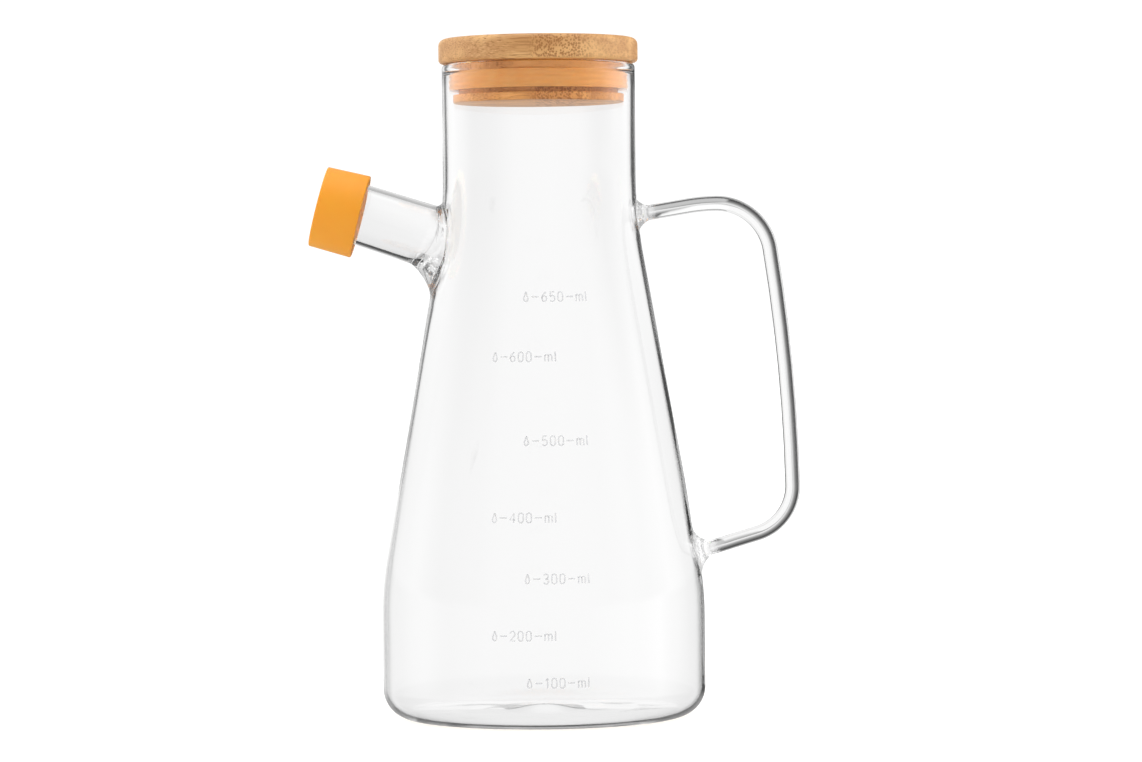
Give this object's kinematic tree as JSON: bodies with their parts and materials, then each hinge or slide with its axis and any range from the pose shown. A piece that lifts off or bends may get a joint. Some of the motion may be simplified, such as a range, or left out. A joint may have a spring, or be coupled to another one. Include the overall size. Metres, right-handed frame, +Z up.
{
  "type": "oil and vinegar bottle",
  "caption": "Conical clear glass pouring bottle with a side spout, a loop handle, a wooden lid with a soft seal and a soft cap on the spout.",
  "frame": {"origin": "centre of the whole object's box, level with the surface that the bottle stands on", "axes": "+Z up along the bottle's axis, which passes through x = -3.9 mm, y = 0; -X towards the spout, +X towards the handle"},
  "size_m": [0.1435, 0.094, 0.1989],
  "materials": {
    "clear_glass": "clear polished borosilicate glass",
    "bamboo": "smooth satin bamboo",
    "clear_silicone": "translucent, smooth",
    "orange_silicone": "matte, smooth"
  },
  "bodies": {
    "root": {"glass_bottle": "clear_glass", "bamboo_lid": "bamboo", "seal_ring": "clear_silicone", "spout_cap": "orange_silicone"}
  },
  "joints": []
}
